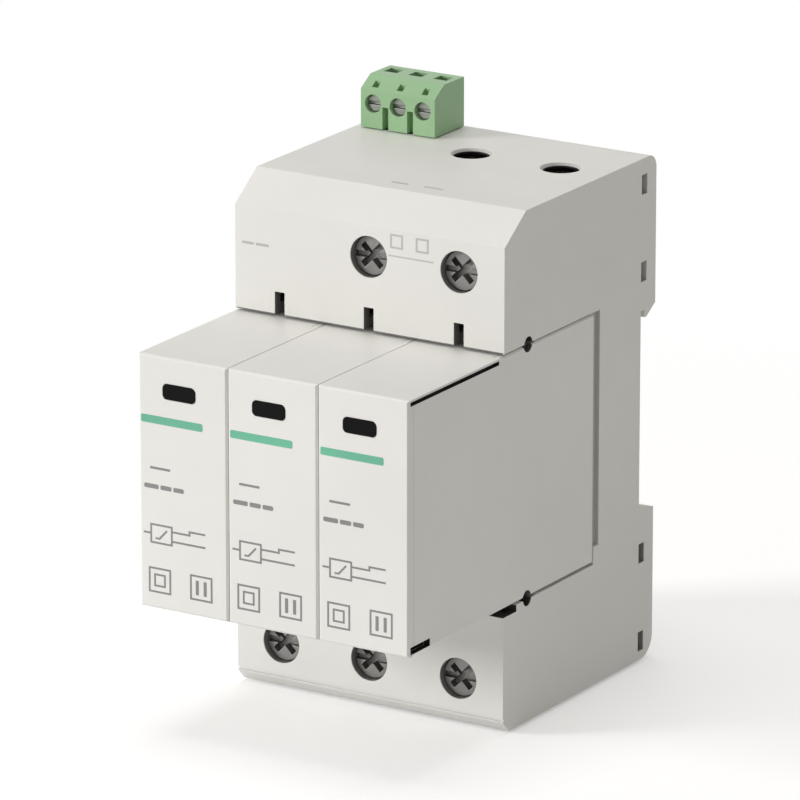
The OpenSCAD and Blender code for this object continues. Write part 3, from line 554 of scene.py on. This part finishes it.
def field(u0, v0, u1, v1, r, steps=4):
    """Outline of a rectangle with round corners."""
    corners = ((u1 - r, v0 + r, -90), (u1 - r, v1 - r, 0), (u0 + r, v1 - r, 90), (u0 + r, v0 + r, 180))
    outline = []
    for u, v, start in corners:
        for k in range(steps + 1):
            a = math.radians(start + 90.0 * k / steps)
            outline.append((u + r * math.cos(a), v + r * math.sin(a)))
    return outline


def dash(u0, u1, v, width):
    """Outline of a short line with round corners."""
    return field(u0, v - width / 2, u1, v + width / 2, width * 0.3)


def square(u, v, half):
    """Corners of a square about a point."""
    return [(u - half, v - half), (u + half, v - half), (u + half, v + half), (u - half, v + half)]


def fill(bm, place, outline):
    """Adds a closed patch of ink."""
    low = [bm.verts.new(place(u, v, -INK_ROOT)) for u, v in outline]
    high = [bm.verts.new(place(u, v, INK_HEIGHT)) for u, v in outline]
    bm.faces.new(high)
    bm.faces.new(low[::-1])
    for k in range(len(outline)):
        bm.faces.new((low[k - 1], low[k], high[k], high[k - 1]))


def line(bm, place, points, width, closed=False):
    """Adds a drawn line with mitred corners, open or closed."""
    pts = [Vector(p) for p in points]
    count = len(pts)
    rings = []
    for k, p in enumerate(pts):
        steps = []
        if closed or k > 0:
            steps.append(p - pts[k - 1])
        if closed or k < count - 1:
            steps.append(pts[(k + 1) % count] - p)
        normals = [Vector((-step.y, step.x)).normalized() for step in steps]
        mean = sum(normals, Vector((0.0, 0.0))).normalized()
        reach = mean * (width / 2 / mean.dot(normals[0]))
        left, right = p + reach, p - reach
        ring = ((left, -INK_ROOT), (left, INK_HEIGHT), (right, INK_HEIGHT), (right, -INK_ROOT))
        rings.append([bm.verts.new(place(q.x, q.y, off)) for q, off in ring])
    for k in range(count if closed else count - 1):
        a, b = rings[k], rings[(k + 1) % count]
        for j in range(4):
            bm.faces.new((a[j], b[j], b[(j + 1) % 4], a[(j + 1) % 4]))
    if not closed:
        bm.faces.new(rings[0])
        bm.faces.new(rings[-1][::-1])


def printed(name, body, material, bm):
    """Makes a printed piece from its mesh and lets it ride on a body."""
    bmesh.ops.recalc_face_normals(bm, faces=bm.faces)
    mesh = bpy.data.meshes.new(name)
    bm.to_mesh(mesh)
    bm.free()
    mesh.materials.append(material)
    obj = bpy.data.objects.new(name, mesh)
    bpy.context.collection.objects.link(obj)
    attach(obj, body)


# Marks of a cartridge in millimetres, across from its pole and up from the rail's centre line
STROKE = 0.34
STRIPE_INSET = 0.5
STRIPE_END = 4.0
STRIPE_Z = (9.0, 10.4)
STRIPE_R = 0.3
RULE = (-6.7, -2.6)
RULE_Z = 1.1
RULE_WIDTH = 0.42
WORDS = ((-7.9, -5.0), (-4.6, -2.4), (-2.0, 0.1))
WORDS_Z = -2.2
WORDS_WIDTH = 0.8
SYMBOL_BOX = ((-6.6, -12.2), (-2.4, -12.2), (-2.4, -9.0), (-6.6, -9.0))
SYMBOL_LINES = (
    ((-8.1, -10.6), (-6.8, -10.6)),
    ((-5.7, -11.4), (-4.9, -11.4), (-3.4, -9.8)),
    ((-2.2, -9.8), (1.2, -9.8), (1.2, -9.2), (4.4, -9.2)),
    ((-2.2, -11.5), (4.4, -11.5)),
)
SIGN_Z = -18.9
SIGN_SQUARES = ((-4.9, 2.1), (-4.9, 1.0), (3.5, 2.1))
SIGN_BARS = (2.7, 4.3)
SIGN_BAR_HALF = (0.3, 1.3)
SIGN_BAR_R = 0.1


def stripe(bm, face, pole, start):
    """Coloured stripe under the status window, from the cartridge's left edge."""
    fill(bm, face, field(start + STRIPE_INSET, STRIPE_Z[0], pole + STRIPE_END, STRIPE_Z[1], STRIPE_R))


def legend(bm, face, pole):
    """Generic print of a cartridge: dashes for words, a protection symbol and two signs."""
    fill(bm, face, dash(pole + RULE[0], pole + RULE[1], RULE_Z, RULE_WIDTH))
    for start, end in WORDS:
        fill(bm, face, dash(pole + start, pole + end, WORDS_Z, WORDS_WIDTH))
    line(bm, face, [(pole + u, v) for u, v in SYMBOL_BOX], STROKE, True)
    for points in SYMBOL_LINES:
        line(bm, face, [(pole + u, v) for u, v in points], STROKE)
    for u, half in SIGN_SQUARES:
        line(bm, face, square(pole + u, SIGN_Z, half), STROKE, True)
    wide, high = SIGN_BAR_HALF
    for u in SIGN_BARS:
        fill(bm, face, field(pole + u - wide, SIGN_Z - high, pole + u + wide, SIGN_Z + high, SIGN_BAR_R))


for order, (pole, (case_low, _)) in enumerate(zip(POLES, CASES), 1):
    front = on_front(case_low[1])
    bm = bmesh.new()
    stripe(bm, front, pole, case_low[0])
    printed(f"stripe_{order}", f"cartridge_{order}", GREEN_INK, bm)
    bm = bmesh.new()
    legend(bm, front, pole)
    printed(f"legend_{order}", f"cartridge_{order}", GREY_INK, bm)

# Marks of the base in millimetres
SHOULDER_WORDS = ((-25.6, -23.2), (-22.8, -20.2))
SHOULDER_WORDS_Z = 33.4
SHOULDER_WORDS_WIDTH = 0.45
SHOULDER_SQUARES = (5.6, 10.7)
SHOULDER_SQUARES_Z = 38.0
SHOULDER_SQUARE_HALF = 1.1
SHOULDER_RULE = ((4.0, 35.4), (13.0, 35.4))
SHOULDER_RULE_WIDTH = 0.25
DECK_DASHES = ((-2.0, 1.4, -35.4, 0.7), (4.4, 8.2, -35.2, 0.55))

shoulder = on_front(BASE_FRONT)
bm = bmesh.new()
for start, end in SHOULDER_WORDS:
    fill(bm, shoulder, dash(start, end, SHOULDER_WORDS_Z, SHOULDER_WORDS_WIDTH))
for u in SHOULDER_SQUARES:
    line(bm, shoulder, square(u, SHOULDER_SQUARES_Z, SHOULDER_SQUARE_HALF), STROKE, True)
line(bm, shoulder, SHOULDER_RULE, SHOULDER_RULE_WIDTH)
printed("shoulder_marks", "base", PALE_INK, bm)

deck = on_top(BASE_TOP)
bm = bmesh.new()
for start, end, v, width in DECK_DASHES:
    fill(bm, deck, dash(start, end, v, width))
printed("deck_marks", "base", PALE_INK, bm)


# Floor, background and light, in metres

WHITE = (1.0, 1.0, 1.0, 1.0)
FLOOR_SIZE = 6.0
FLOOR_GAP = 0.00002
FLOOR_COLOUR = (0.86, 0.86, 0.86, 1.0)
FLOOR_ROUGHNESS = 0.7
FLOOR_LIFT = 0.3
FADE_START = 0.06
FADE_END = 0.22
SKY_COLOUR = (1.0, 0.965, 0.91, 1.0)
SKY_STRENGTH = 0.34


def seen_rays(tree):
    """1 for rays that show the background: from the camera, by gloss or through glass."""
    paths = tree.nodes.new("ShaderNodeLightPath")
    return any_of(tree, [paths.outputs[f"Is {ray} Ray"] for ray in ("Camera", "Glossy", "Transmission")])


def mixed(tree, share, first, second, output):
    """Links a mix of two shaders, by the share of the second, to an output node."""
    mix = tree.nodes.new("ShaderNodeMixShader")
    for source, socket in zip((share, first, second), mix.inputs):
        tree.links.new(source, socket)
    tree.links.new(mix.outputs["Shader"], tree.nodes[output].inputs["Surface"])


def floor_material():
    """Matt pale floor that keeps the part's shadow and is seen to fade to white further out."""
    mat, tree, shader, coords = new_material("floor")
    shader.inputs["Base Color"].default_value = FLOOR_COLOUR
    shader.inputs["Roughness"].default_value = FLOOR_ROUGHNESS
    seen = seen_rays(tree)
    lift = tree.nodes.new("ShaderNodeEmission")
    lift.inputs["Color"].default_value = WHITE
    tree.links.new(number(tree, "MULTIPLY", seen, FLOOR_LIFT), lift.inputs["Strength"])
    near = tree.nodes.new("ShaderNodeAddShader")
    tree.links.new(shader.outputs["BSDF"], near.inputs[0])
    tree.links.new(lift.outputs["Emission"], near.inputs[1])
    far = tree.nodes.new("ShaderNodeEmission")
    far.inputs["Color"].default_value = WHITE
    fade = tree.nodes.new("ShaderNodeMapRange")
    fade.inputs["From Min"].default_value = FADE_START
    fade.inputs["From Max"].default_value = FADE_END
    tree.links.new(vector(tree, "LENGTH", coords), fade.inputs["Value"])
    share = number(tree, "MULTIPLY", fade.outputs["Result"], seen)
    mixed(tree, share, near.outputs["Shader"], far.outputs["Emission"], "Material Output")
    return mat


def studio_world():
    """Soft warm light from all around, which is seen as white."""
    world = bpy.data.worlds.new("studio")
    world.use_nodes = True
    tree = world.node_tree
    sky = tree.nodes["Background"]
    sky.inputs["Color"].default_value = SKY_COLOUR
    sky.inputs["Strength"].default_value = SKY_STRENGTH
    bright = tree.nodes.new("ShaderNodeBackground")
    bright.inputs["Color"].default_value = WHITE
    bright.inputs["Strength"].default_value = 1.0
    mixed(tree, seen_rays(tree), sky.outputs["Background"], bright.outputs["Background"], "World Output")
    return world


def lamp(name, place, aim, size, power):
    """Soft rectangular lamp at a place, aimed at a point, both in metres."""
    data = bpy.data.lights.new(name, "AREA")
    data.shape = "RECTANGLE"
    data.size = size[0]
    data.size_y = size[1]
    data.energy = power
    obj = bpy.data.objects.new(name, data)
    obj.location = place
    obj.rotation_euler = (Vector(aim) - Vector(place)).to_track_quat("-Z", "Y").to_euler()
    bpy.context.collection.objects.link(obj)


bpy.ops.mesh.primitive_plane_add(size=FLOOR_SIZE, location=(0.0, 0.0, CAD_BOX[0][2] - FLOOR_GAP))
floor = bpy.context.object
floor.name = "floor"
floor.data.materials.append(floor_material())

lamp("key", place=(-1.3, -1.1, 0.42), aim=(0.0, -0.05, 0.0), size=(0.4, 0.4), power=21.0)
lamp("top", place=(-0.1, 0.0, 1.5), aim=(0.0, -0.03, 0.0), size=(0.7, 0.7), power=7.0)

scene = bpy.context.scene
scene.world = studio_world()
scene.view_settings.view_transform = "Standard"
